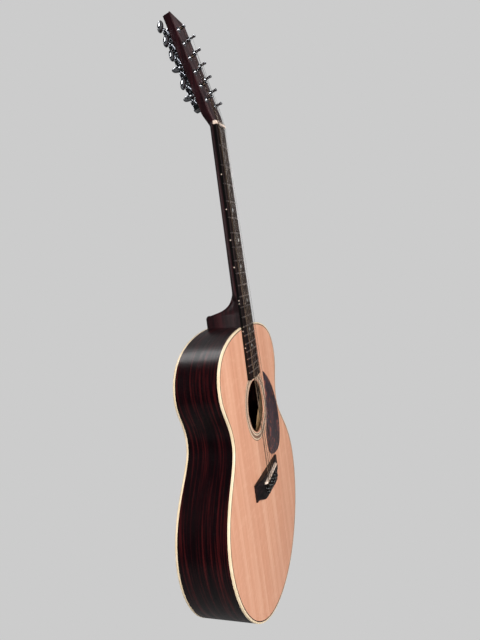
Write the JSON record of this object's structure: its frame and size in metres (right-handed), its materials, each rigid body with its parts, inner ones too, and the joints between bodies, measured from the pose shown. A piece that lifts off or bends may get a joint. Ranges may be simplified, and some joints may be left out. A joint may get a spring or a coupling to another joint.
{
  "type": "acoustic guitar",
  "caption": "Steel-string acoustic guitar with paired strings, a large round-shouldered body, a long solid headstock and geared tuning machines whose buttons turn their posts.",
  "frame": {"origin": "middle of the rim at the tail, on the centre line and half way through the body's depth, where the strap button is fixed", "axes": "+Z along the body towards the headstock, -Y the way the soundboard faces, +X the treble side"},
  "size_m": [0.435, 0.1211, 1.1132],
  "materials": {
    "soundboard": "satin spruce with fine straight grain",
    "side_wood": "satin rosewood, near black with reddish streaks",
    "neck_wood": "satin dark mahogany",
    "headplate_wood": "satin dark veneer",
    "fretboard_wood": "oiled dark wood",
    "bridge_wood": "oiled near-black wood",
    "brace_wood": "bare spruce and mahogany",
    "binding": "cream, satin",
    "rosette": "inlaid dark and light rings",
    "pickguard": "dark tortoiseshell",
    "black_plastic": "black",
    "bone": "polished bone",
    "chrome": "polished",
    "steel": "drawn",
    "plain_string": "drawn wire",
    "wound_string": "wound wire"
  },
  "bodies": {
    "root": {"gearboxes_bass": "chrome", "gearboxes_treble": "chrome", "neck": "neck_wood", "truss_rod": "steel", "nut": "bone", "heel_cap": "side_wood", "fretboard": "fretboard_wood", "soundboard": "soundboard", "rosette": "rosette", "back": "side_wood", "top_binding": "binding", "back_binding": "binding", "side_bass": "side_wood", "side_treble": "side_wood", "top_lining": "brace_wood", "back_lining": "brace_wood", "neck_block": "brace_wood", "tail_block": "brace_wood", "top_bracing": "brace_wood", "back_bracing": "brace_wood", "pickguard": "pickguard", "strap_button": "black_plastic", "bridge": "bridge_wood", "saddle": "bone", "string_e3": "wound_string", "string_e2": "wound_string", "string_a3": "plain_string", "string_a2": "wound_string", "string_d4": "plain_string", "string_d3": "wound_string", "string_g4": "plain_string", "string_g3": "wound_string", "string_b3_a": "plain_string", "string_b3_b": "plain_string", "string_e4_a": "plain_string", "string_e4_b": "plain_string"},
    "button_bass_1": {"tuner_button_bass_1": "chrome"},
    "post_bass_1": {"tuner_post_bass_1": "chrome"},
    "button_bass_2": {"tuner_button_bass_2": "chrome"},
    "post_bass_2": {"tuner_post_bass_2": "chrome"},
    "button_bass_3": {"tuner_button_bass_3": "chrome"},
    "post_bass_3": {"tuner_post_bass_3": "chrome"},
    "button_bass_4": {"tuner_button_bass_4": "chrome"},
    "post_bass_4": {"tuner_post_bass_4": "chrome"},
    "button_bass_5": {"tuner_button_bass_5": "chrome"},
    "post_bass_5": {"tuner_post_bass_5": "chrome"},
    "button_bass_6": {"tuner_button_bass_6": "chrome"},
    "post_bass_6": {"tuner_post_bass_6": "chrome"},
    "button_treble_1": {"tuner_button_treble_1": "chrome"},
    "post_treble_1": {"tuner_post_treble_1": "chrome"},
    "button_treble_2": {"tuner_button_treble_2": "chrome"},
    "post_treble_2": {"tuner_post_treble_2": "chrome"},
    "button_treble_3": {"tuner_button_treble_3": "chrome"},
    "post_treble_3": {"tuner_post_treble_3": "chrome"},
    "button_treble_4": {"tuner_button_treble_4": "chrome"},
    "post_treble_4": {"tuner_post_treble_4": "chrome"},
    "button_treble_5": {"tuner_button_treble_5": "chrome"},
    "post_treble_5": {"tuner_post_treble_5": "chrome"},
    "button_treble_6": {"tuner_button_treble_6": "chrome"},
    "post_treble_6": {"tuner_post_treble_6": "chrome"}
  },
  "joints": [
    {"name": "turn_button_bass_1", "type": "hinge", "parent": "root", "child": "button_bass_1", "pos_m": [-0.02245, -0.02074, 0.94445], "axis": [-1, 0, 0], "continuous": true},
    {"name": "turn_post_bass_1", "type": "hinge", "parent": "root", "child": "post_bass_1", "pos_m": [-0.02245, -0.04195, 0.94371], "axis": [0, 0.9659, -0.2588], "continuous": true},
    {"name": "turn_button_bass_2", "type": "hinge", "parent": "root", "child": "button_bass_2", "pos_m": [-0.02238, -0.01401, 0.96956], "axis": [-1, 0, 0], "continuous": true},
    {"name": "turn_post_bass_2", "type": "hinge", "parent": "root", "child": "post_bass_2", "pos_m": [-0.02238, -0.03522, 0.96883], "axis": [0, 0.9659, -0.2588], "continuous": true},
    {"name": "turn_button_bass_3", "type": "hinge", "parent": "root", "child": "button_bass_3", "pos_m": [-0.0223, -0.00728, 0.99467], "axis": [-1, 0, 0], "continuous": true},
    {"name": "turn_post_bass_3", "type": "hinge", "parent": "root", "child": "post_bass_3", "pos_m": [-0.0223, -0.02849, 0.99394], "axis": [0, 0.9659, -0.2588], "continuous": true},
    {"name": "turn_button_bass_4", "type": "hinge", "parent": "root", "child": "button_bass_4", "pos_m": [-0.02223, -0.00055, 1.01979], "axis": [-1, 0, 0], "continuous": true},
    {"name": "turn_post_bass_4", "type": "hinge", "parent": "root", "child": "post_bass_4", "pos_m": [-0.02223, -0.02176, 1.01905], "axis": [0, 0.9659, -0.2588], "continuous": true},
    {"name": "turn_button_bass_5", "type": "hinge", "parent": "root", "child": "button_bass_5", "pos_m": [-0.02216, 0.00618, 1.0449], "axis": [-1, 0, 0], "continuous": true},
    {"name": "turn_post_bass_5", "type": "hinge", "parent": "root", "child": "post_bass_5", "pos_m": [-0.02216, -0.01503, 1.04417], "axis": [0, 0.9659, -0.2588], "continuous": true},
    {"name": "turn_button_bass_6", "type": "hinge", "parent": "root", "child": "button_bass_6", "pos_m": [-0.02209, 0.01291, 1.07002], "axis": [-1, 0, 0], "continuous": true},
    {"name": "turn_post_bass_6", "type": "hinge", "parent": "root", "child": "post_bass_6", "pos_m": [-0.02209, -0.0083, 1.06928], "axis": [0, 0.9659, -0.2588], "continuous": true},
    {"name": "turn_button_treble_1", "type": "hinge", "parent": "root", "child": "button_treble_1", "pos_m": [0.02245, -0.02074, 0.94445], "axis": [1, 0, 0], "continuous": true},
    {"name": "turn_post_treble_1", "type": "hinge", "parent": "root", "child": "post_treble_1", "pos_m": [0.02245, -0.04195, 0.94371], "axis": [0, 0.9659, -0.2588], "continuous": true},
    {"name": "turn_button_treble_2", "type": "hinge", "parent": "root", "child": "button_treble_2", "pos_m": [0.02238, -0.01401, 0.96956], "axis": [1, 0, 0], "continuous": true},
    {"name": "turn_post_treble_2", "type": "hinge", "parent": "root", "child": "post_treble_2", "pos_m": [0.02238, -0.03522, 0.96883], "axis": [0, 0.9659, -0.2588], "continuous": true},
    {"name": "turn_button_treble_3", "type": "hinge", "parent": "root", "child": "button_treble_3", "pos_m": [0.0223, -0.00728, 0.99467], "axis": [1, 0, 0], "continuous": true},
    {"name": "turn_post_treble_3", "type": "hinge", "parent": "root", "child": "post_treble_3", "pos_m": [0.0223, -0.02849, 0.99394], "axis": [0, 0.9659, -0.2588], "continuous": true},
    {"name": "turn_button_treble_4", "type": "hinge", "parent": "root", "child": "button_treble_4", "pos_m": [0.02223, -0.00055, 1.01979], "axis": [1, 0, 0], "continuous": true},
    {"name": "turn_post_treble_4", "type": "hinge", "parent": "root", "child": "post_treble_4", "pos_m": [0.02223, -0.02176, 1.01905], "axis": [0, 0.9659, -0.2588], "continuous": true},
    {"name": "turn_button_treble_5", "type": "hinge", "parent": "root", "child": "button_treble_5", "pos_m": [0.02216, 0.00618, 1.0449], "axis": [1, 0, 0], "continuous": true},
    {"name": "turn_post_treble_5", "type": "hinge", "parent": "root", "child": "post_treble_5", "pos_m": [0.02216, -0.01503, 1.04417], "axis": [0, 0.9659, -0.2588], "continuous": true},
    {"name": "turn_button_treble_6", "type": "hinge", "parent": "root", "child": "button_treble_6", "pos_m": [0.02209, 0.01291, 1.07002], "axis": [1, 0, 0], "continuous": true},
    {"name": "turn_post_treble_6", "type": "hinge", "parent": "root", "child": "post_treble_6", "pos_m": [0.02209, -0.0083, 1.06928], "axis": [0, 0.9659, -0.2588], "continuous": true}
  ],
  "couplings": [
    {"joint": "turn_post_bass_1", "follows": "turn_button_bass_1", "ratio": -0.071429},
    {"joint": "turn_post_bass_2", "follows": "turn_button_bass_2", "ratio": -0.071429},
    {"joint": "turn_post_bass_3", "follows": "turn_button_bass_3", "ratio": -0.071429},
    {"joint": "turn_post_bass_4", "follows": "turn_button_bass_4", "ratio": -0.071429},
    {"joint": "turn_post_bass_5", "follows": "turn_button_bass_5", "ratio": -0.071429},
    {"joint": "turn_post_bass_6", "follows": "turn_button_bass_6", "ratio": -0.071429},
    {"joint": "turn_post_treble_1", "follows": "turn_button_treble_1", "ratio": 0.071429},
    {"joint": "turn_post_treble_2", "follows": "turn_button_treble_2", "ratio": 0.071429},
    {"joint": "turn_post_treble_3", "follows": "turn_button_treble_3", "ratio": 0.071429},
    {"joint": "turn_post_treble_4", "follows": "turn_button_treble_4", "ratio": 0.071429},
    {"joint": "turn_post_treble_5", "follows": "turn_button_treble_5", "ratio": 0.071429},
    {"joint": "turn_post_treble_6", "follows": "turn_button_treble_6", "ratio": 0.071429}
  ]
}
